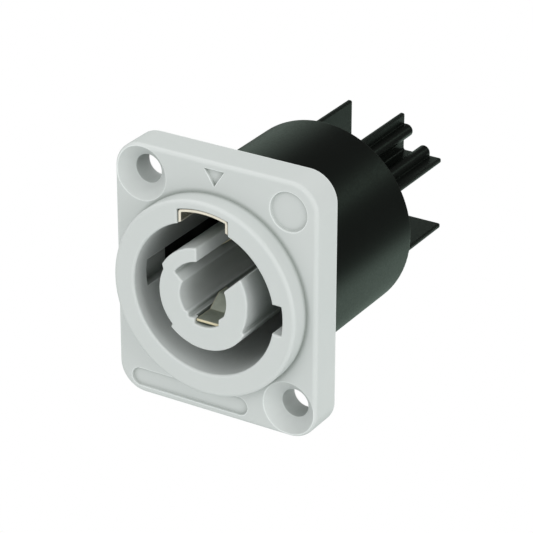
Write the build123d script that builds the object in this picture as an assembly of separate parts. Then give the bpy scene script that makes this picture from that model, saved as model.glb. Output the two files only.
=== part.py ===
"""Panel mount power connector: a light grey front with a socket, and a black rear insulator.

Frame: millimetres. The Y axis is the connector's axis and points into the panel, +X is to the
right and +Z is up as seen from the front. The origin lies on the axis, in the plane where the
back of the flange meets the panel.
"""
from build123d import *
import os
from math import acos, cos, degrees, radians, sin, tan

# Flange
FLANGE_W = 26.0
FLANGE_H = 31.0
FLANGE_T = 4.2
FLANGE_CORNER_R = 3.4
FLANGE_EDGE_R = 0.5
HOLE_X = 9.5
HOLE_Z = 12.0
HOLE_D = 3.4
COUNTERSINK_D = 6.5
COUNTERSINK_SLOPE = 45.0

# Marks sunk into the flange's face
MARK_DEPTH = 0.3
MARK_DRAFT = 25.0
ARROW_W = 2.6
ARROW_TOP_Z = 14.6
ARROW_TIP_Z = 12.6
DISC_X = 9.4
DISC_Z = 11.9
DISC_D = 4.7
BAR_X = -3.55
BAR_Z = -13.57
BAR_L = 15.5
BAR_H = 2.26

# Ring and socket
RING_D = 23.45
RING_H = 2.55
RING_EDGE_R = 0.45
SOCKET_D = 18.1
SOCKET_LIP_R = 0.25
SOCKET_DEPTH = 19.25
BARREL_WALL = 0.95
COLLAR_D = 21.2
COLLAR_L = 1.2

# Keyways in the socket wall, seen from the front
TOP_KEY_W = 6.5
TOP_KEY_R = 10.65
SIDE_KEY_R = 10.15
RIGHT_KEY_W = 3.5
LEFT_KEY_W = 3.3
LEFT_KEY_SETBACK = 2.55

# Contact carrier: a C shaped core on a disc
CORE_R = 6.1
CORE_NECK_R = 5.7
CORE_CORNER_R = 0.18
CORE_EDGE_R = 0.18
BORE_R = 3.0
GAP_LEFT_X = -0.77
GAP_RIGHT_OUTER = 37.4
GAP_RIGHT_INNER = 31.5
GAP_RIGHT_FLARE = 0.2
STEP_RIGHT = -28.0
STEP_LEFT_LOW = -134.3
STEP_LEFT_HIGH = 154.5
STEP_LEFT_RISE = 4.5
LINE_POCKET_R = 4.45
LINE_POCKET_END = 146.0
LINE_POCKET_INNER_END = 149.0
EARTH_POCKET_R = 3.35
EARTH_POCKET_LEFT = -1.92
EARTH_POCKET_RIGHT = 2.02
EARTH_SHELF_Z = -2.54
EARTH_NUB_Z = -1.95
EARTH_NUB_LEFT = -141.0
EARTH_NUB_RIGHT = -29.0
EARTH_LIP = 0.85
EARTH_SIDE_GAP = 0.3
NEUTRAL_POCKET_R = 4.3
NEUTRAL_POCKET_REACH = 2.0
NEUTRAL_POCKET_SETBACK = 1.5
DISC_SEAT = 0.35
DISC_T = 3.0
LUG_R = 9.9
FIT_GAP = 0.05

# Contacts
LEAF_T = 0.28
LEAF_BEND_R = 0.35
EARTH_LEAF_W = 3.0
EARTH_LEAF_R = 2.89
EARTH_LEAF_SHIFT = 0.4
EARTH_LEAF_SETBACK = 0.5
POWER_LEAF_W = 2.0
POWER_LEAF_R = 3.85
LINE_LEAF_ANGLE = 128.0
NEUTRAL_LEAF_ANGLE = -8.0
POWER_LEAF_SETBACK = 9.0
BUMP_START = 2.75
BUMP_RAMP = 1.9
BUMP_FLAT = 1.5
BUMP_RISE = 1.28
TAB_T = 0.8
TAB_LENGTH = 7.7
TAB_TIP_CHAMFER = 0.7
POWER_TAB_W = 4.8
POWER_TAB_INNER = 1.6
POWER_TAB_OFFSET = -0.2
POWER_TAB_HOLE_D = 1.4
EARTH_TAB_W = 6.3
EARTH_TAB_R = 8.0
EARTH_TAB_ANGLE = 225.0
EARTH_TAB_HOLE_D = 1.8
TAB_HOLE_SETBACK = 2.6

# Latch plate in the top keyway
PLATE_T = 0.3
PLATE_GAP = 0.1
PLATE_BEND_R = 0.4
PLATE_SETBACK = 0.25
PLATE_LEG_R = 9.15

# Rear insulator
BODY_D = 23.5
BODY_LENGTH = 19.3
BODY_SEAT = 0.3
BODY_EDGE_R = 0.25
WALL_T = 0.6
WALL_TIP_R = 0.2
WALL_LENGTH = 12.1
WALL_REACH_R = 10.1
OUTER_WALL_X = -3.2
OUTER_WALL_Z = -3.8
INNER_WALL_X = 3.95
INNER_WALL_Z = 4.66
RIB_W = 1.56
RIB_STAND = 1.15
TOP_RIB_Z = 7.25
SIDE_RIB_X = 6.68
INNER_CORNER_R = 0.3

# Within this an edge counts as found
NEAR = 0.01

# Places worked out from the sizes above
FLANGE_FRONT = -FLANGE_T
RING_FRONT = FLANGE_FRONT - RING_H
SOCKET_FLOOR = RING_FRONT + SOCKET_DEPTH
DISC_BACK = SOCKET_FLOOR + DISC_T
BARREL_R = SOCKET_D / 2 + BARREL_WALL
DISC_R = SOCKET_D / 2 + DISC_SEAT
CROSS_BACK = DISC_BACK + TAB_T
TAB_END = BODY_LENGTH + TAB_LENGTH
WALL_END = BODY_LENGTH + WALL_LENGTH


def polar(radius, angle):
    """A point in the X-Z plane, at an angle in degrees from +X towards +Z."""
    return (radius * cos(radians(angle)), radius * sin(radians(angle)))


def slab(sketch, y_front, y_back, taper=0.0):
    """Extrude a sketch drawn in X and Z, from y_back forwards to y_front."""
    plane = Plane(origin=(0, y_back, 0), x_dir=(1, 0, 0), z_dir=(0, -1, 0))
    return extrude(plane * sketch, amount=y_back - y_front, taper=taper)


def arc(start, middle, end):
    """An arc through three points."""
    return ThreePointArc(start, middle, end)


def ring_arc(radius, start, end):
    """An arc about the axis between two angles."""
    return arc(polar(radius, start), polar(radius, (start + end) / 2), polar(radius, end))


def box_sketch(x_low, x_high, z_low, z_high):
    """A rectangle given by its limits in X and Z."""
    centre = Pos((x_low + x_high) / 2, (z_low + z_high) / 2)
    return centre * Rectangle(x_high - x_low, z_high - z_low)


def round_sketch(diameter):
    """A circle whose start, which leaves a seam on the wall, is at the bottom."""
    return Rot(0, 0, -90) * Circle(diameter / 2)


def top_key(width, radius):
    """The sketch of the keyway at the top of the socket."""
    return box_sketch(-width / 2, width / 2, SOCKET_D / 4, radius) & Circle(radius)


def side_key(width, radius, side):
    """The sketch of a keyway at the right (side = 1) or the left (side = -1) of the socket."""
    x_low, x_high = sorted((side * SOCKET_D / 4, side * radius))
    return box_sketch(x_low, x_high, -width / 2, width / 2) & Circle(radius)


def sunk_mark(sketch):
    """The tool that sinks a mark, with sloping walls, into the flange's face."""
    slope = MARK_DEPTH * tan(radians(MARK_DRAFT))
    floor = offset(sketch, amount=-slope, kind=Kind.INTERSECTION)
    return slab(floor, FLANGE_FRONT, FLANGE_FRONT + MARK_DEPTH, taper=-MARK_DRAFT)


def make_front_housing():
    """Flange, raised ring and socket barrel, moulded in one piece."""
    outline = RectangleRounded(FLANGE_W, FLANGE_H, FLANGE_CORNER_R)
    flange = slab(outline, FLANGE_FRONT, 0)
    flange = fillet(flange.faces().sort_by(Axis.Y)[0].edges(), FLANGE_EDGE_R)
    ring = slab(round_sketch(RING_D), RING_FRONT, -FLANGE_T / 2)
    ring = fillet(ring.faces().sort_by(Axis.Y)[0].edges(), RING_EDGE_R)
    collar = slab(round_sketch(COLLAR_D), -FLANGE_T / 2, COLLAR_L)
    barrel = slab(round_sketch(2 * BARREL_R), -FLANGE_T / 2, DISC_BACK)
    housing = flange + ring + collar + barrel

    through_keys = top_key(TOP_KEY_W, TOP_KEY_R) + side_key(RIGHT_KEY_W, SIDE_KEY_R, 1)
    housing -= slab(Circle(SOCKET_D / 2) + through_keys, RING_FRONT, DISC_BACK)
    lip = housing.faces().sort_by(Axis.Y)[0].inner_wires()[0].edges()
    housing = fillet(lip, SOCKET_LIP_R)
    left_key = side_key(LEFT_KEY_W, SIDE_KEY_R, -1)
    housing -= slab(left_key, RING_FRONT + LEFT_KEY_SETBACK, DISC_BACK)
    housing -= slab(Circle(DISC_R), SOCKET_FLOOR, DISC_BACK)
    seat = Circle(BODY_D / 2 + FIT_GAP) - Circle(COLLAR_D / 2)
    housing -= slab(seat, -BODY_SEAT, 0)

    sink_depth = (COUNTERSINK_D - HOLE_D) / 2 / tan(radians(COUNTERSINK_SLOPE))
    for side in (-1, 1):
        centre = Pos(side * HOLE_X, -side * HOLE_Z)
        hole = centre * Circle(HOLE_D / 2)
        housing -= slab(hole, FLANGE_FRONT, 0)
        housing -= slab(
            hole, FLANGE_FRONT, FLANGE_FRONT + sink_depth, taper=-COUNTERSINK_SLOPE)

    arrow = make_face(Polyline(
        (-ARROW_W / 2, ARROW_TOP_Z), (ARROW_W / 2, ARROW_TOP_Z), (0, ARROW_TIP_Z), close=True))
    disc = Pos(DISC_X, DISC_Z) * Circle(DISC_D / 2)
    bar = Pos(BAR_X, BAR_Z) * SlotOverall(BAR_L, BAR_H)
    for mark in (arrow, disc, bar):
        housing -= sunk_mark(mark)
    return housing


def core_sketch():
    """The C shaped section of the core, with the pockets of two contacts in its bore."""
    step_top = STEP_LEFT_HIGH - STEP_LEFT_RISE
    gap_top_angle = degrees(acos(GAP_LEFT_X / CORE_R))
    gap_low_angle = degrees(acos(GAP_LEFT_X / LINE_POCKET_R))
    strip_left = EARTH_LEAF_SHIFT - EARTH_LEAF_W / 2
    floor_left = (strip_left, -(EARTH_POCKET_R ** 2 - strip_left ** 2) ** 0.5)
    floor_right = (EARTH_POCKET_RIGHT, -(EARTH_POCKET_R ** 2 - EARTH_POCKET_RIGHT ** 2) ** 0.5)
    nub_left = (EARTH_POCKET_LEFT, EARTH_NUB_Z)
    nub_right = (EARTH_POCKET_RIGHT, EARTH_NUB_Z)
    bore_left = polar(BORE_R, EARTH_NUB_LEFT)
    bore_right = polar(BORE_R, EARTH_NUB_RIGHT)
    right_mouth = polar(CORE_R, GAP_RIGHT_OUTER)
    inner_mouth = polar(BORE_R + GAP_RIGHT_FLARE, GAP_RIGHT_INNER)
    gap_top = polar(CORE_R, gap_top_angle)
    gap_low = polar(LINE_POCKET_R, gap_low_angle)
    edges = Curve() + [
        arc(right_mouth, polar((CORE_R + CORE_NECK_R) / 2, GAP_RIGHT_OUTER / 2),
            polar(CORE_NECK_R, 0)),
        ring_arc(CORE_NECK_R, 0, STEP_RIGHT),
        Line(polar(CORE_NECK_R, STEP_RIGHT), polar(CORE_R, STEP_RIGHT)),
        ring_arc(CORE_R, STEP_RIGHT, STEP_LEFT_LOW),
        Line(polar(CORE_R, STEP_LEFT_LOW), polar(CORE_NECK_R, STEP_LEFT_LOW)),
        ring_arc(CORE_NECK_R, STEP_LEFT_LOW, STEP_LEFT_HIGH - 360),
        Line(polar(CORE_NECK_R, STEP_LEFT_HIGH), polar(CORE_R, step_top)),
        ring_arc(CORE_R, step_top, gap_top_angle),
        Line(gap_top, gap_low),
        ring_arc(LINE_POCKET_R, gap_low_angle, LINE_POCKET_END),
        Line(polar(LINE_POCKET_R, LINE_POCKET_END), polar(BORE_R, LINE_POCKET_INNER_END)),
        arc(polar(BORE_R, LINE_POCKET_INNER_END), polar(BORE_R, 180), bore_left),
        Line(bore_left, nub_left),
        Line(nub_left, (EARTH_POCKET_LEFT, EARTH_SHELF_Z)),
        Line((EARTH_POCKET_LEFT, EARTH_SHELF_Z), (strip_left, EARTH_SHELF_Z)),
        Line((strip_left, EARTH_SHELF_Z), floor_left),
        arc(floor_left, (0, -EARTH_POCKET_R), floor_right),
        Line(floor_right, nub_right),
        Line(nub_right, bore_right),
        arc(bore_right, polar(BORE_R, 0), inner_mouth),
        Line(inner_mouth, right_mouth),
    ]
    return make_face(edges)


def leaf_section(width, radius, shift, angle, gap=0.0):
    """The flat section of a contact leaf, widened by a gap for the slot that it passes through."""
    section = Pos(shift, -radius) * Rectangle(width + 2 * gap, LEAF_T + 2 * gap)
    return Rot(0, 0, angle + 90) * section


def tab_section(name, gap=0.0):
    """The section of a flat tab."""
    if name == "earth":
        turned = Rot(0, 0, EARTH_TAB_ANGLE) * Pos(EARTH_TAB_R, 0)
        return turned * Rectangle(TAB_T + 2 * gap, EARTH_TAB_W + 2 * gap)
    middle = POWER_TAB_INNER + POWER_TAB_W / 2
    if name == "line":
        return Pos(POWER_TAB_OFFSET, middle) * Rectangle(TAB_T + 2 * gap, POWER_TAB_W + 2 * gap)
    return Pos(middle, POWER_TAB_OFFSET) * Rectangle(POWER_TAB_W + 2 * gap, TAB_T + 2 * gap)


LEAVES = {
    "line": (POWER_LEAF_W, POWER_LEAF_R, 0.0, LINE_LEAF_ANGLE, POWER_LEAF_SETBACK),
    "neutral": (POWER_LEAF_W, POWER_LEAF_R, 0.0, NEUTRAL_LEAF_ANGLE, POWER_LEAF_SETBACK),
    "earth": (EARTH_LEAF_W, EARTH_LEAF_R, EARTH_LEAF_SHIFT, -90.0, EARTH_LEAF_SETBACK),
}
HOLE_OF_TAB = {"line": POWER_TAB_HOLE_D, "neutral": POWER_TAB_HOLE_D, "earth": EARTH_TAB_HOLE_D}


def cross_plate_section(name, gap=0.0):
    """The plate that joins a leaf to its tab behind the carrier's disc."""
    width, radius, shift, angle, _ = LEAVES[name]
    both = leaf_section(width, radius, shift, angle, gap) + tab_section(name, gap)
    return make_hull(both.edges())


def make_contact_carrier():
    """The grey core with its disc, which closes the back of the socket."""
    section = fillet(core_sketch().vertices(), CORE_CORNER_R)
    carrier = slab(section, RING_FRONT, SOCKET_FLOOR)
    carrier = fillet(carrier.faces().sort_by(Axis.Y)[0].outer_wire().edges(), CORE_EDGE_R)
    disc = Circle(DISC_R - FIT_GAP)
    disc += side_key(RIGHT_KEY_W - 2 * FIT_GAP, LUG_R, 1)
    carrier += slab(disc, SOCKET_FLOOR, DISC_BACK)

    pocket = Pos(NEUTRAL_POCKET_R - NEUTRAL_POCKET_REACH / 2, 0) * Rectangle(
        NEUTRAL_POCKET_REACH, POWER_LEAF_W + 4 * FIT_GAP)
    pocket = Rot(0, 0, NEUTRAL_LEAF_ANGLE) * pocket
    carrier -= slab(pocket, RING_FRONT + NEUTRAL_POCKET_SETBACK, SOCKET_FLOOR)
    strip_left = EARTH_LEAF_SHIFT - EARTH_LEAF_W / 2
    side_gap = box_sketch(strip_left - EARTH_SIDE_GAP, 0, -EARTH_LEAF_R - LEAF_T / 2, 0)
    carrier -= slab(side_gap, RING_FRONT + EARTH_LIP, SOCKET_FLOOR)
    for width, radius, shift, angle, setback in LEAVES.values():
        slot = leaf_section(width, radius, shift, angle, FIT_GAP)
        carrier -= slab(slot, RING_FRONT + setback - FIT_GAP, DISC_BACK)
    return carrier


def make_contact(name):
    """A contact: a spring leaf in the socket, a cross plate and a flat tab at the rear."""
    width, radius, shift, angle, setback = LEAVES[name]
    tip = RING_FRONT + setback
    bump = tip + BUMP_START
    crest = -radius + BUMP_RISE
    middle_line = FilletPolyline(
        (tip, -radius), (bump, -radius), (bump + BUMP_RAMP, crest),
        (bump + BUMP_RAMP + BUMP_FLAT, crest), (bump + 2 * BUMP_RAMP + BUMP_FLAT, -radius),
        (CROSS_BACK, -radius), radius=LEAF_BEND_R)
    strip = trace(middle_line, LEAF_T)
    leaf = extrude(Plane.YZ * strip, amount=width / 2, both=True)
    leaf = Rot(0, -angle - 90, 0) * Pos(shift, 0, 0) * leaf
    contact = leaf + slab(cross_plate_section(name), DISC_BACK, CROSS_BACK)

    tab = slab(tab_section(name), CROSS_BACK, TAB_END)
    tip_face = tab.faces().sort_by(Axis.Y)[-1]
    corners = tab.edges().filter_by(lambda edge: abs(edge.length - TAB_T) < NEAR)
    corners = corners.filter_by(lambda edge: abs(edge.center().Y - TAB_END) < NEAR)
    tab = chamfer(corners, TAB_TIP_CHAMFER)
    centre = tip_face.center() - Vector(0, TAB_HOLE_SETBACK, 0)
    broad = tab.faces().sort_by(SortBy.AREA)[-1].normal_at()
    drill = Cylinder(HOLE_OF_TAB[name] / 2, 3 * TAB_T)
    tab -= Plane(origin=centre, z_dir=broad) * drill
    return contact + tab


def make_lock_plate():
    """The sheet metal plate that lines the top keyway, where the plug's latch catches."""
    outside = top_key(TOP_KEY_W - 2 * PLATE_GAP, TOP_KEY_R - PLATE_GAP)
    inside = top_key(TOP_KEY_W - 2 * PLATE_GAP - 2 * PLATE_T, TOP_KEY_R - PLATE_GAP - PLATE_T)
    outside = fillet(outside.vertices().sort_by(Axis.Y)[-2:], PLATE_BEND_R)
    inside = fillet(inside.vertices().sort_by(Axis.Y)[-2:], PLATE_BEND_R - PLATE_T)
    bent = outside - inside - Circle(PLATE_LEG_R)
    return slab(bent, RING_FRONT + PLATE_SETBACK, COLLAR_L)


def wall_sketch():
    """The partition walls behind the rear face: two angled walls and the web between them."""
    reach = WALL_REACH_R
    outer_x = OUTER_WALL_X - WALL_T
    outer_z = OUTER_WALL_Z - WALL_T
    inner_x = INNER_WALL_X - WALL_T
    inner_z = INNER_WALL_Z - WALL_T
    outer_top = (reach ** 2 - outer_x ** 2) ** 0.5
    outer_side = (reach ** 2 - outer_z ** 2) ** 0.5
    inner_top = (reach ** 2 - INNER_WALL_X ** 2) ** 0.5
    inner_side = (reach ** 2 - INNER_WALL_Z ** 2) ** 0.5
    walls = [
        box_sketch(outer_x, OUTER_WALL_X, outer_z, outer_top),
        box_sketch(outer_x, outer_side, outer_z, OUTER_WALL_Z),
        box_sketch(inner_x, INNER_WALL_X, inner_z, inner_top),
        box_sketch(inner_x, inner_side, inner_z, INNER_WALL_Z),
    ]
    sketch = Sketch() + [fillet(wall.vertices(), WALL_TIP_R) for wall in walls]
    sketch += box_sketch(outer_x, OUTER_WALL_X, outer_z, OUTER_WALL_Z)
    sketch += box_sketch(inner_x, INNER_WALL_X, inner_z, INNER_WALL_Z)

    nose = RIB_STAND - RIB_W / 2
    top_rib = box_sketch(INNER_WALL_X - WALL_T / 2, INNER_WALL_X + nose,
                         TOP_RIB_Z - RIB_W / 2, TOP_RIB_Z + RIB_W / 2)
    side_rib = box_sketch(SIDE_RIB_X - RIB_W / 2, SIDE_RIB_X + RIB_W / 2,
                          INNER_WALL_Z - WALL_T / 2, INNER_WALL_Z + nose)
    sketch += top_rib + Pos(INNER_WALL_X + nose, TOP_RIB_Z) * Circle(RIB_W / 2)
    sketch += side_rib + Pos(SIDE_RIB_X, INNER_WALL_Z + nose) * Circle(RIB_W / 2)

    corner_x = INNER_WALL_X + INNER_CORNER_R
    corner_z = INNER_WALL_Z + INNER_CORNER_R
    sketch += box_sketch(INNER_WALL_X, corner_x, INNER_WALL_Z, corner_z) - (
        Pos(corner_x, corner_z) * Circle(INNER_CORNER_R))

    web_start = (OUTER_WALL_X - WALL_T / 2, OUTER_WALL_Z - WALL_T / 2)
    web_end = (INNER_WALL_X - WALL_T / 2, INNER_WALL_Z - WALL_T / 2)
    sketch += trace(Line(web_start, web_end), WALL_T)
    return sketch


def make_rear_body():
    """The black insulator: a shell over the barrel, its end wall and the partition walls."""
    body = slab(round_sketch(BODY_D), -BODY_SEAT, BODY_LENGTH)
    body = fillet(body.faces().sort_by(Axis.Y)[-1].edges(), BODY_EDGE_R)
    body = chamfer(body.faces().sort_by(Axis.Y)[0].edges(), BODY_SEAT)
    body -= slab(Circle(COLLAR_D / 2 + FIT_GAP), -BODY_SEAT, DISC_BACK)
    for name in LEAVES:
        body -= slab(cross_plate_section(name, FIT_GAP), DISC_BACK, CROSS_BACK)
        body -= slab(tab_section(name, FIT_GAP), DISC_BACK, BODY_LENGTH)
    return body + slab(wall_sketch(), BODY_LENGTH - WALL_T, WALL_END)


def main():
    """Build every piece and write one STEP file for each."""
    os.makedirs("parts", exist_ok=True)
    pieces = {
        "front_housing": make_front_housing(),
        "contact_carrier": make_contact_carrier(),
        "rear_body": make_rear_body(),
        "lock_plate": make_lock_plate(),
        "line_contact": make_contact("line"),
        "neutral_contact": make_contact("neutral"),
        "earth_contact": make_contact("earth"),
    }
    for name, shape in pieces.items():
        export_step(shape, f"parts/{name}.step")
        print(name, "solids", len(shape.solids()), "volume", round(shape.volume, 2))


if __name__ == "__main__":
    main()
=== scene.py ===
"""Panel mount power connector: finishes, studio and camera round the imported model."""

import logging
from dataclasses import dataclass, field
from enum import Enum
from math import cos, radians, sin

import bpy
from mathutils import Matrix, Vector

LOG = logging.getLogger("connector")
MM = 0.001

# The Mix node's colour sockets by number, since their names are shared by its other sockets
MIX_A = 6
MIX_B = 7
MIX_COLOUR = 2

# The cosine of the turn of a bevelled normal above which a surface still counts as flat
FLAT_TURN = 0.998

# How far a face turns to the front or back, between a side of a strip and its cut end
END_TURN = (0.80, 0.95)

# The band that a noise texture hardly leaves
NOISE_BAND = (0.3, 0.7)

# The free share of the surroundings, from the darkest place to where the painted shade of inner
# corners, narrow gaps and deep hollows ends
CREASE_SHADE_BAND = (0.50, 0.95)
GAP_SHADE_BAND = (0.15, 0.45)
HOLLOW_SHADE_BAND = (0.02, 0.28)

# The part of a noise texture that shows as tarnish, up to TARNISH_MOST of its colour
TARNISH_BAND = (0.45, 0.75)
TARNISH_MOST = 0.6

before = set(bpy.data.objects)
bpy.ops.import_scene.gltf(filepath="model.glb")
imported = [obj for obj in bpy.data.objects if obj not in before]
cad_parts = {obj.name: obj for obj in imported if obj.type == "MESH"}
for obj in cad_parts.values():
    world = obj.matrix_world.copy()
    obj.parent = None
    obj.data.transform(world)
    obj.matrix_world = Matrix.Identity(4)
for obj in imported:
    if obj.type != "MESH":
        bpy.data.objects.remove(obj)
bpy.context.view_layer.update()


class Ray(Enum):
    """The kinds of ray that see something else than plain white."""

    DIFFUSE = "Is Diffuse Ray"
    GLOSSY = "Is Glossy Ray"


def linear(hex_code: str) -> tuple[float, float, float, float]:
    """Turn an sRGB hex colour to linear light.

    Args:
        hex_code: six hex digits after a hash.

    Returns:
        Linear red, green and blue, and an alpha of 1.
    """
    channels = []
    for start in (1, 3, 5):
        value = int(hex_code[start:start + 2], 16) / 255
        channels.append(value / 12.92 if value <= 0.04045 else ((value + 0.055) / 1.055) ** 2.4)
    return (channels[0], channels[1], channels[2], 1.0)


def add_node(
    tree: bpy.types.NodeTree, kind: str, settings: dict | None = None, links: dict | None = None
) -> bpy.types.Node:
    """Add a node to a tree, set it up and link it.

    Args:
        tree: the node tree.
        kind: the node's class name, such as ShaderNodeTexNoise.
        settings: values by input socket, as a name or a number, or by property with a dot in
            front of its name.
        links: output sockets by the input socket that each one feeds.

    Returns:
        The new node.
    """
    node = tree.nodes.new(kind)
    for key, value in (settings or {}).items():
        if isinstance(key, str) and key.startswith("."):
            setattr(node, key[1:], value)
        else:
            node.inputs[key].default_value = value
    for key, socket in (links or {}).items():
        tree.links.new(socket, node.inputs[key])
    return node


def cycles_per_metre(size_mm: float) -> float:
    """Return the noise scale whose features are about size_mm across in metre coordinates."""
    return 1.0 / (size_mm * MM)


def glow_along(
    tree: bpy.types.NodeTree, way: bpy.types.NodeSocket, stops: tuple[tuple[float, str], ...]
) -> bpy.types.NodeSocket:
    """Colour a glow by its place along a way, blended evenly between stops.

    Args:
        tree: the material's or the world's node tree.
        way: the socket of the place along the way, from 0 to 1.
        stops: places from 0 to 1, rising, each with its colour.

    Returns:
        The socket of the colour.
    """
    ramp = add_node(tree, "ShaderNodeValToRGB", links={"Fac": way})
    elements = ramp.color_ramp.elements
    while len(elements) < len(stops):
        elements.new(0.5)
    for element, (place, colour) in zip(elements, stops):
        element.position = place
        element.color = linear(colour)
    return ramp.outputs["Color"]


def edge_share(
    tree: bpy.types.NodeTree, normal: bpy.types.NodeSocket, most: float, turned: float
) -> bpy.types.NodeSocket:
    """Find the edges, where a bevelled normal turns away from the surface's own.

    Args:
        tree: the material's node tree.
        normal: the bevelled normal.
        most: the share on an edge.
        turned: the cosine of the turn at which the share is reached.

    Returns:
        The socket of the share, which is 0 on flat ground.
    """
    surface = add_node(tree, "ShaderNodeNewGeometry")
    turn = add_node(
        tree, "ShaderNodeVectorMath", {".operation": "DOT_PRODUCT"},
        {0: normal, 1: surface.outputs["Normal"]})
    share = add_node(
        tree, "ShaderNodeMapRange",
        {"From Min": FLAT_TURN, "From Max": turned, "To Max": most},
        {"Value": turn.outputs["Value"]})
    return share.outputs["Result"]


def end_share(tree: bpy.types.NodeTree, most: float) -> bpy.types.NodeSocket:
    """Find the faces across the connector's axis, which on a strip are its cut ends.

    Args:
        tree: the material's node tree.
        most: the share on such a face.

    Returns:
        The socket of the share, which is 0 on a face along the axis.
    """
    normal = add_node(tree, "ShaderNodeTexCoord").outputs["Normal"]
    parts = add_node(tree, "ShaderNodeSeparateXYZ", links={0: normal})
    along = add_node(
        tree, "ShaderNodeMath", {".operation": "ABSOLUTE"}, {0: parts.outputs["Y"]})
    share = add_node(
        tree, "ShaderNodeMapRange",
        {"From Min": END_TURN[0], "From Max": END_TURN[1], "To Max": most},
        {"Value": along.outputs["Value"]})
    return share.outputs["Result"]


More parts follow.
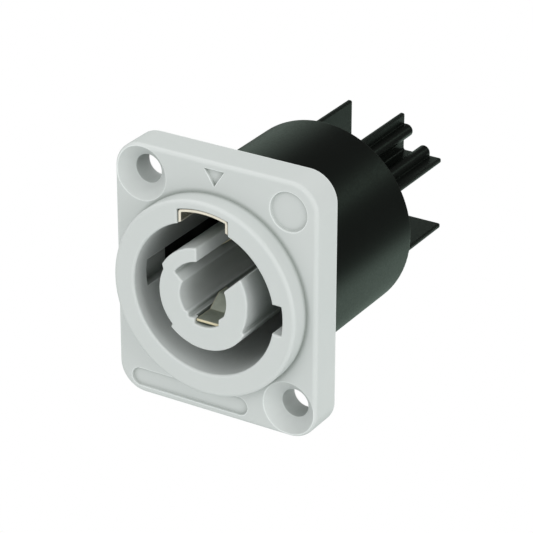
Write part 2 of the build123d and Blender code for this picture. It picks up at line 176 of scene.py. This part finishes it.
@dataclass(frozen=True)
class MouldedPlastic:
    """An injection moulded, glass filled nylon with a fine spark eroded surface.

    It has a painted highlight on the edges that stand out, painted shade in inner corners and
    the darkest painted shade in narrow gaps and deep hollows.
    """

    name: str
    base: str
    flow: str
    # edge is a painted highlight colour; crease and hollow are painted shade colours
    edge: str
    crease_shade: str
    hollow_shade: str
    sheen: str
    roughness: float
    specular: float
    flow_mm: float
    grain_mm: float
    grain_depth_mm: float
    edge_radius_mm: float
    highlight_reach_mm: float
    hollow_mm: float
    crease_mm: float = 0.7
    highlight_most: float = 0.85
    highlight_turn: float = 0.92
    smoother: float = 0.05
    rougher: float = 0.06
    grain_strength: float = 0.6
    refraction: float = 1.53

    def moulded_colour(
        self, tree: bpy.types.NodeTree, place: bpy.types.NodeSocket
    ) -> bpy.types.NodeSocket:
        """Make the plastic's own colour, with faint shading where it flowed in the mould.

        Args:
            tree: the material's node tree.
            place: the socket of the place on the object.

        Returns:
            The socket of the colour.
        """
        flow = add_node(
            tree, "ShaderNodeTexNoise",
            {"Scale": cycles_per_metre(self.flow_mm), "Detail": 3.0, "Roughness": 0.55},
            {"Vector": place})
        colour = add_node(
            tree, "ShaderNodeMix",
            {".data_type": "RGBA", MIX_A: linear(self.base), MIX_B: linear(self.flow)},
            {0: flow.outputs["Fac"]})
        return colour.outputs[MIX_COLOUR]

    def shade_by_shape(
        self, tree: bpy.types.NodeTree, colour: bpy.types.NodeSocket
    ) -> bpy.types.NodeSocket:
        """Paint a highlight on outer edges, and paint shade into inner corners, narrow gaps and
        deep hollows.

        Args:
            tree: the material's node tree.
            colour: the socket of the plastic's own colour.

        Returns:
            The socket of the shaded colour.
        """
        highlight_bevel = add_node(
            tree, "ShaderNodeBevel", {".samples": 8, "Radius": self.highlight_reach_mm * MM})
        on_edge = edge_share(
            tree, highlight_bevel.outputs["Normal"], self.highlight_most, self.highlight_turn)
        nearby = add_node(
            tree, "ShaderNodeAmbientOcclusion",
            {".samples": 12, "Distance": self.crease_mm * MM})
        around = add_node(
            tree, "ShaderNodeAmbientOcclusion",
            {".samples": 12, "Distance": self.hollow_mm * MM})
        is_open = add_node(
            tree, "ShaderNodeMapRange",
            {"From Min": CREASE_SHADE_BAND[0], "From Max": CREASE_SHADE_BAND[1]},
            {"Value": nearby.outputs["AO"]})
        is_wide = add_node(
            tree, "ShaderNodeMapRange",
            {"From Min": GAP_SHADE_BAND[0], "From Max": GAP_SHADE_BAND[1]},
            {"Value": nearby.outputs["AO"]})
        is_shallow = add_node(
            tree, "ShaderNodeMapRange",
            {"From Min": HOLLOW_SHADE_BAND[0], "From Max": HOLLOW_SHADE_BAND[1]},
            {"Value": around.outputs["AO"]})
        is_lit = add_node(
            tree, "ShaderNodeMath", {".operation": "MINIMUM"},
            {0: is_shallow.outputs["Result"], 1: is_wide.outputs["Result"]})
        painted_highlight_share = add_node(
            tree, "ShaderNodeMath", {".operation": "MULTIPLY"},
            {0: on_edge, 1: is_open.outputs["Result"]})
        # Painted highlight on proud edges, then painted shade in inner corners, then the darkest
        # painted shade in narrow gaps and deep hollows
        with_painted_highlights = add_node(
            tree, "ShaderNodeMix", {".data_type": "RGBA", MIX_B: linear(self.edge)},
            {0: painted_highlight_share.outputs["Value"], MIX_A: colour})
        with_painted_crease_shade = add_node(
            tree, "ShaderNodeMix", {".data_type": "RGBA", MIX_A: linear(self.crease_shade)},
            {0: is_open.outputs["Result"], MIX_B: with_painted_highlights.outputs[MIX_COLOUR]})
        with_painted_hollow_shade = add_node(
            tree, "ShaderNodeMix", {".data_type": "RGBA", MIX_A: linear(self.hollow_shade)},
            {0: is_lit.outputs["Value"], MIX_B: with_painted_crease_shade.outputs[MIX_COLOUR]})
        return with_painted_hollow_shade.outputs[MIX_COLOUR]

    def build(self) -> bpy.types.Material:
        """Make the material.

        Returns:
            The new material.
        """
        material = bpy.data.materials.new(self.name)
        material.use_nodes = True
        tree = material.node_tree
        tree.nodes.clear()
        place = add_node(tree, "ShaderNodeTexCoord").outputs["Object"]
        colour = self.shade_by_shape(tree, self.moulded_colour(tree, place))
        grain = add_node(
            tree, "ShaderNodeTexNoise",
            {"Scale": cycles_per_metre(self.grain_mm), "Detail": 4.0, "Roughness": 0.6},
            {"Vector": place})
        gloss = add_node(
            tree, "ShaderNodeMapRange",
            {"From Min": NOISE_BAND[0], "From Max": NOISE_BAND[1],
             "To Min": self.roughness - self.smoother, "To Max": self.roughness + self.rougher},
            {"Value": grain.outputs["Fac"]})
        soft_edge = add_node(
            tree, "ShaderNodeBevel", {".samples": 8, "Radius": self.edge_radius_mm * MM})
        bump = add_node(
            tree, "ShaderNodeBump",
            {"Strength": self.grain_strength, "Distance": self.grain_depth_mm * MM},
            {"Height": grain.outputs["Fac"], "Normal": soft_edge.outputs["Normal"]})
        shader = add_node(
            tree, "ShaderNodeBsdfPrincipled",
            {"IOR": self.refraction, "Specular IOR Level": self.specular,
             "Specular Tint": linear(self.sheen)},
            {"Base Color": colour, "Roughness": gloss.outputs["Result"],
             "Normal": bump.outputs["Normal"]})
        add_node(tree, "ShaderNodeOutputMaterial", links={"Surface": shader.outputs["BSDF"]})
        return material


@dataclass(frozen=True)
class PlatedSheet:
    """Thin metal strip with an electroplated surface, rolled along one direction.

    Where it was cut, at its edges and ends, it is bare, matt and pale; that pale colour, also laid
    along its bends, is partly a painted highlight.
    """

    name: str
    base: str
    tarnish: str
    cut_and_highlight: str
    roughness: float
    rolling_mm: tuple[float, float, float]
    tarnish_mm: float
    line_depth_mm: float
    edge_radius_mm: float
    cut_share: float = 0.9
    cut_turn: float = 0.985
    cut_metallic: float = 0.1
    cut_roughness: float = 0.5
    smoother: float = 0.06
    rougher: float = 0.08
    line_strength: float = 0.5

    def plated_colour(
        self, tree: bpy.types.NodeTree, place: bpy.types.NodeSocket
    ) -> bpy.types.NodeSocket:
        """Make the plating's colour, with duller spots where it has tarnished.

        Args:
            tree: the material's node tree.
            place: the socket of the place on the object.

        Returns:
            The socket of the colour.
        """
        spots = add_node(
            tree, "ShaderNodeTexNoise",
            {"Scale": cycles_per_metre(self.tarnish_mm), "Detail": 4.0}, {"Vector": place})
        share = add_node(
            tree, "ShaderNodeMapRange",
            {"From Min": TARNISH_BAND[0], "From Max": TARNISH_BAND[1], "To Max": TARNISH_MOST},
            {"Value": spots.outputs["Fac"]})
        colour = add_node(
            tree, "ShaderNodeMix",
            {".data_type": "RGBA", MIX_A: linear(self.base), MIX_B: linear(self.tarnish)},
            {0: share.outputs["Result"]})
        return colour.outputs[MIX_COLOUR]

    def build(self) -> bpy.types.Material:
        """Make the material.

        Returns:
            The new material.
        """
        material = bpy.data.materials.new(self.name)
        material.use_nodes = True
        tree = material.node_tree
        tree.nodes.clear()
        place = add_node(tree, "ShaderNodeTexCoord").outputs["Object"]
        stretched = add_node(
            tree, "ShaderNodeMapping",
            {"Scale": tuple(cycles_per_metre(size) for size in self.rolling_mm)},
            {"Vector": place})
        lines = add_node(
            tree, "ShaderNodeTexNoise", {"Scale": 1.0, "Detail": 3.0},
            {"Vector": stretched.outputs["Vector"]})
        gloss = add_node(
            tree, "ShaderNodeMapRange",
            {"From Min": NOISE_BAND[0], "From Max": NOISE_BAND[1],
             "To Min": self.roughness - self.smoother, "To Max": self.roughness + self.rougher},
            {"Value": lines.outputs["Fac"]})
        soft_edge = add_node(
            tree, "ShaderNodeBevel", {".samples": 6, "Radius": self.edge_radius_mm * MM})
        bump = add_node(
            tree, "ShaderNodeBump",
            {"Strength": self.line_strength, "Distance": self.line_depth_mm * MM},
            {"Height": lines.outputs["Fac"], "Normal": soft_edge.outputs["Normal"]})
        rolled = add_node(
            tree, "ShaderNodeBsdfPrincipled", {"Metallic": 1.0},
            {"Base Color": self.plated_colour(tree, place), "Roughness": gloss.outputs["Result"],
             "Normal": bump.outputs["Normal"]})
        # Bare matt metal on cut edges and ends; its pale colour, also laid along bends, is partly a
        # painted highlight
        cut = add_node(
            tree, "ShaderNodeBsdfPrincipled",
            {"Base Color": linear(self.cut_and_highlight), "Metallic": self.cut_metallic,
             "Roughness": self.cut_roughness},
            {"Normal": bump.outputs["Normal"]})
        on_edge = edge_share(
            tree, soft_edge.outputs["Normal"], self.cut_share, self.cut_turn)
        is_cut_or_highlight = add_node(
            tree, "ShaderNodeMath", {".operation": "MAXIMUM"},
            {0: on_edge, 1: end_share(tree, self.cut_share)})
        shader = add_node(
            tree, "ShaderNodeMixShader",
            links={0: is_cut_or_highlight.outputs["Value"], 1: rolled.outputs["BSDF"],
                   2: cut.outputs["BSDF"]})
        add_node(tree, "ShaderNodeOutputMaterial", links={"Surface": shader.outputs["Shader"]})
        return material


# Light grey glass filled nylon from a spark eroded mould: even, satin, with faint flow shading
# Its edge colour is a painted highlight; its crease and hollow colours are painted shade
GREY_NYLON = MouldedPlastic(
    name="grey_glass_filled_nylon", base="#BDC1BF", flow="#B8BDBB", edge="#E2E7E5",
    crease_shade="#8A918C", hollow_shade="#58625A", sheen="#FFFFFF", roughness=0.50, specular=0.35, flow_mm=9.0,
    grain_mm=0.22, grain_depth_mm=0.010, edge_radius_mm=0.13, highlight_reach_mm=0.25, hollow_mm=9.0)

# Black glass filled nylon: deep, satin, so that a lamp shows as one broad soft sheen
# Its edge colour is a painted highlight along rims and edges; its crease and hollow colours are
# painted shade
BLACK_NYLON = MouldedPlastic(
    name="black_glass_filled_nylon", base="#050705", flow="#070907", edge="#7E887F",
    crease_shade="#030403", hollow_shade="#020302", sheen="#E4F5E8", roughness=0.38, specular=0.42, flow_mm=7.0,
    grain_mm=0.25, grain_depth_mm=0.010, edge_radius_mm=0.12, highlight_reach_mm=0.15, hollow_mm=3.0)

# Nickel plated spring steel strip: warm white metal, finely lined by rolling, pale where cut, that
# pale being partly a painted highlight
NICKEL_STEEL = PlatedSheet(
    name="nickel_plated_spring_steel", base="#D9D3C4", tarnish="#B9B09A", cut_and_highlight="#E2DBCB",
    roughness=0.30, rolling_mm=(1.5, 0.08, 0.08), tarnish_mm=1.6, line_depth_mm=0.004,
    edge_radius_mm=0.18)

# Silver plated brass: bright where it was cut and along bends, partly as a painted highlight, and
# greyer where the plating has dulled
SILVER_BRASS = PlatedSheet(
    name="silver_plated_brass", base="#D5DACD", tarnish="#BCC2B2", cut_and_highlight="#D8CDAC",
    roughness=0.58, rolling_mm=(0.08, 1.5, 0.08), tarnish_mm=1.2, line_depth_mm=0.003,
    edge_radius_mm=0.14)


def dress(node: str, material: bpy.types.Material) -> None:
    """Give a CAD node one material, all over.

    Args:
        node: the node's name.
        material: the finish.
    """
    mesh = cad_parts[node].data
    mesh.materials.clear()
    mesh.materials.append(material)


@dataclass
class Insulators:
    """The three moulded pieces."""

    grey_nodes: tuple[str, ...] = ("front_housing", "contact_carrier")
    black_nodes: tuple[str, ...] = ("rear_body",)

    def finish(self) -> None:
        """Dress the grey front pieces and the black rear one."""
        grey = GREY_NYLON.build()
        for node in self.grey_nodes:
            dress(node, grey)
        black = BLACK_NYLON.build()
        for node in self.black_nodes:
            dress(node, black)


@dataclass
class Metalwork:
    """The latch plate and the three contacts."""

    steel_nodes: tuple[str, ...] = ("lock_plate",)
    silver_nodes: tuple[str, ...] = ("line_contact", "neutral_contact", "earth_contact")

    def finish(self) -> None:
        """Dress the plated strips."""
        steel = NICKEL_STEEL.build()
        for node in self.steel_nodes:
            dress(node, steel)
        silver = SILVER_BRASS.build()
        for node in self.silver_nodes:
            dress(node, silver)


@dataclass(frozen=True)
class Softbox:
    """One rectangular studio lamp, aimed at a point."""

    name: str
    place: tuple[float, float, float]
    aim: tuple[float, float, float]
    width: float
    height: float
    watts: float
    colour: str = "#FFFFFF"

    def hang(self) -> None:
        """Add the lamp to the scene."""
        data = bpy.data.lights.new(self.name, "AREA")
        data.shape = "RECTANGLE"
        data.size = self.width
        data.size_y = self.height
        data.energy = self.watts
        data.color = linear(self.colour)[:3]
        lamp = bpy.data.objects.new(self.name, data)
        bpy.context.scene.collection.objects.link(lamp)
        lamp.location = self.place
        sight = Vector(self.aim) - Vector(self.place)
        lamp.rotation_euler = sight.to_track_quat("-Z", "Y").to_euler()


@dataclass
class Studio:
    """White surroundings, a floor well below the connector, and soft lamps.

    The photograph's camera sees pure white all round, while the black plastic and the plated
    metal reflect a much darker room with a pale floor, so each kind of ray gets its own level.
    """

    seen_colour: str = "#FFFFFF"
    floor_z: float = -0.20
    floor_size: float = 1.3
    floor_colour: str = "#E2E4E4"
    # The floor's glow as reflections see it, by distance from the middle: a painted glow brightest
    # in a ring, not a lamp
    floor_glow: tuple[tuple[float, str], ...] = (
        (0.22, "#97AA9E"), (0.38, "#E7FFF1"), (0.62, "#000000"))
    ambient: float = 0.79
    room_glow: tuple[tuple[float, str], ...] = (
        (0.45, "#909090"), (0.60, "#404040"), (0.92, "#404040"), (0.97, "#747474"))
    lamps: list[Softbox] = field(default_factory=lambda: [
        Softbox("key", (-0.05, -0.60, 0.26), (0.0, 0.0, 0.0), 0.40, 0.36, 1.32),
        Softbox("left", (-0.38, -0.48, 0.24), (0.0, 0.0, 0.0), 0.36, 0.36, 0.15),
        Softbox("side", (0.54, -0.12, 0.10), (0.0, 0.01, 0.0), 0.28, 0.30, 1.06),
        Softbox("side_high", (0.46, -0.14, 0.34), (0.0, 0.01, 0.0), 0.28, 0.30, 0.40),
        Softbox("top", (-0.34, 0.0, 0.44), (0.0, 0.01, 0.0), 0.26, 0.26, 1.08),
        Softbox("rear_card", (-0.52, 0.60, 0.12), (0.0, 0.01, 0.0), 0.50, 0.50, 0.38, "#E7FFEF"),
        Softbox("rear_strip", (0.27, 0.46, 0.27), (0.0, 0.01, 0.0), 0.10, 0.10, 0.07, "#E7FFEF"),
    ])

    def build_world(self) -> None:
        """Make the white surroundings, which light the object at the ambient level."""
        world = bpy.data.worlds.new("studio")
        bpy.context.scene.world = world
        world.use_nodes = True
        world.cycles.sampling_method = "NONE"
        tree = world.node_tree
        tree.nodes.clear()
        way = add_node(tree, "ShaderNodeTexCoord").outputs["Generated"]
        parts = add_node(tree, "ShaderNodeSeparateXYZ", links={0: way})
        backwards = add_node(
            tree, "ShaderNodeMapRange", {"From Min": -1.0, "From Max": 1.0},
            {"Value": parts.outputs["Y"]})
        path = add_node(tree, "ShaderNodeLightPath")
        seen = add_node(
            tree, "ShaderNodeMix", {".data_type": "RGBA", MIX_A: linear(self.seen_colour)},
            {0: path.outputs[Ray.GLOSSY.value],
             MIX_B: glow_along(tree, backwards.outputs["Result"], self.room_glow)})
        strength = add_node(
            tree, "ShaderNodeMapRange", {"To Min": 1.0, "To Max": self.ambient},
            {"Value": path.outputs[Ray.DIFFUSE.value]})
        sky = add_node(
            tree, "ShaderNodeBackground",
            links={"Color": seen.outputs[MIX_COLOUR], "Strength": strength.outputs["Result"]})
        add_node(tree, "ShaderNodeOutputWorld", links={"Surface": sky.outputs["Background"]})

    def build_floor(self) -> None:
        """Make the floor, pure white to the camera, matt to the light, and glowing to reflections
        with a painted glow that stands in for lamp light.
        """
        bpy.ops.object.select_all(action="DESELECT")
        bpy.ops.mesh.primitive_plane_add(size=self.floor_size, location=(0, 0, self.floor_z))
        floor = bpy.context.object
        floor.name = "floor"
        paint = bpy.data.materials.new("white_floor_glowing_in_reflections")
        paint.use_nodes = True
        paint.cycles.emission_sampling = "NONE"
        tree = paint.node_tree
        tree.nodes.clear()
        matt = add_node(tree, "ShaderNodeBsdfDiffuse", {"Color": linear(self.floor_colour)})
        place = add_node(tree, "ShaderNodeTexCoord").outputs["Object"]
        reach = add_node(
            tree, "ShaderNodeVectorMath", {".operation": "LENGTH"}, {0: place}).outputs["Value"]
        path = add_node(tree, "ShaderNodeLightPath")
        seen = add_node(
            tree, "ShaderNodeMix", {".data_type": "RGBA", MIX_A: linear(self.seen_colour)},
            {0: path.outputs[Ray.GLOSSY.value],
             MIX_B: glow_along(tree, reach, self.floor_glow)})
        bright = add_node(tree, "ShaderNodeEmission", links={"Color": seen.outputs[MIX_COLOUR]})
        mixed = add_node(
            tree, "ShaderNodeMixShader",
            links={0: path.outputs[Ray.DIFFUSE.value], 1: bright.outputs["Emission"],
                   2: matt.outputs["BSDF"]})
        add_node(tree, "ShaderNodeOutputMaterial", links={"Surface": mixed.outputs["Shader"]})
        floor.data.materials.append(paint)

    def build(self) -> None:
        """Make the world, the floor and the lamps."""
        self.build_world()
        self.build_floor()
        for lamp in self.lamps:
            lamp.hang()


@dataclass
class PhotoCamera:
    """The camera of the photograph, as it was fitted to the flange, ring and rear walls."""

    azimuth: float = 31.473
    elevation: float = 26.202
    roll: float = 0.089
    distance: float = 300.075
    aside: float = -3.496
    above: float = -1.148
    focal_px: float = 2695.8
    frame_px: float = 533.0
    sensor: float = 36.0

    def build(self) -> None:
        """Place the camera and make it the scene's."""
        turn, lift = radians(self.azimuth), radians(self.elevation)
        back = Vector((sin(turn) * cos(lift), -cos(turn) * cos(lift), sin(lift)))
        right = Vector((cos(turn), sin(turn), 0.0))
        up = back.cross(right)
        lean = radians(self.roll)
        across = cos(lean) * right + sin(lean) * up
        upright = cos(lean) * up - sin(lean) * right
        place = (self.distance * back - self.aside * across - self.above * upright) * MM

        data = bpy.data.cameras.new("photo_camera")
        data.sensor_width = self.sensor
        data.lens = self.focal_px / self.frame_px * self.sensor
        data.clip_start = 0.01
        data.clip_end = 10.0
        camera = bpy.data.objects.new("photo_camera", data)
        bpy.context.scene.collection.objects.link(camera)
        turned = Matrix((across, upright, back)).transposed().to_4x4()
        camera.matrix_world = Matrix.Translation(place) @ turned
        bpy.context.scene.camera = camera


def main() -> None:
    """Dress the connector and set up the studio and the camera."""
    logging.basicConfig(level=logging.INFO, format="%(message)s")
    bpy.context.scene.view_settings.view_transform = "Standard"
    for assembly in (Insulators(), Metalwork()):
        assembly.finish()
        LOG.info("dressed %s", type(assembly).__name__)
    Studio().build()
    PhotoCamera().build()


if __name__ == "__main__":
    main()
